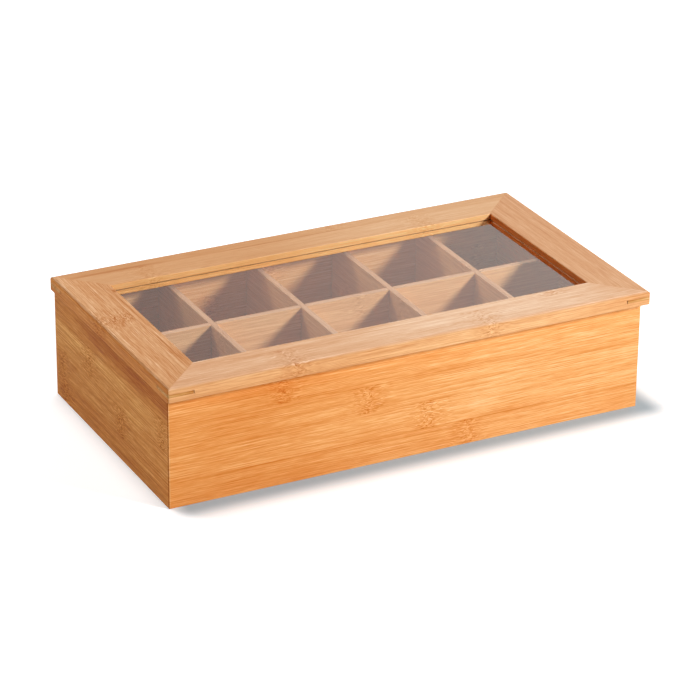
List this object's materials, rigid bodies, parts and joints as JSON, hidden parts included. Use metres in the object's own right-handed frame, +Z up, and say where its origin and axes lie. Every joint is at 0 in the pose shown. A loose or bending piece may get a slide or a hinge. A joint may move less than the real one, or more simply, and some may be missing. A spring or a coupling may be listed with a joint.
{
  "type": "tea bag organizer box",
  "caption": "Low rectangular bamboo box with mitred walls, a grid of open compartments for tea bags, and a hinged frame lid with a see-through window.",
  "frame": {"origin": "middle of the footprint of the whole object, hinges counted, on the surface it stands on", "axes": "+X to the right along the length, +Y to the hinged back, +Z up"},
  "size_m": [0.36, 0.2058, 0.0896],
  "materials": {
    "bamboo_wall": "satin clear-lacquered bamboo, strips and knuckle bands showing",
    "bamboo_frame": "satin clear-lacquered bamboo, two plies showing on the edges",
    "bamboo_insert": "bare sanded bamboo, matt",
    "bamboo_spline": "satin bamboo, darker, in the mitres",
    "window_glass": "clear flat pane, glossy",
    "hinge_brass": "satin brass",
    "hinge_pin_steel": "plain drawn steel",
    "screw_brass": "satin brass, slotted countersunk heads"
  },
  "bodies": {
    "box": {"front_panel": "bamboo_wall", "back_panel": "bamboo_wall", "left_panel": "bamboo_wall", "right_panel": "bamboo_wall", "floor_panel": "bamboo_insert", "long_divider": "bamboo_insert", "cross_divider_1": "bamboo_insert", "cross_divider_2": "bamboo_insert", "cross_divider_3": "bamboo_insert", "cross_divider_4": "bamboo_insert", "hinge_left_box_leaf": "hinge_brass", "hinge_left_pin": "hinge_pin_steel", "hinge_right_box_leaf": "hinge_brass", "hinge_right_pin": "hinge_pin_steel", "box_leaf_screws": "screw_brass"},
    "lid": {"lid_front_rail": "bamboo_frame", "lid_back_rail": "bamboo_frame", "lid_left_stile": "bamboo_frame", "lid_right_stile": "bamboo_frame", "spline_front_left": "bamboo_spline", "spline_front_right": "bamboo_spline", "spline_back_left": "bamboo_spline", "spline_back_right": "bamboo_spline", "window_pane": "window_glass", "hinge_left_lid_leaf": "hinge_brass", "hinge_right_lid_leaf": "hinge_brass", "lid_leaf_screws": "screw_brass"}
  },
  "joints": [
    {"name": "lid_hinge", "type": "hinge", "parent": "box", "child": "lid", "pos_m": [0, 0.0994, 0.0797], "axis": [-1, 0, 0], "range_deg": [0, 100]}
  ]
}
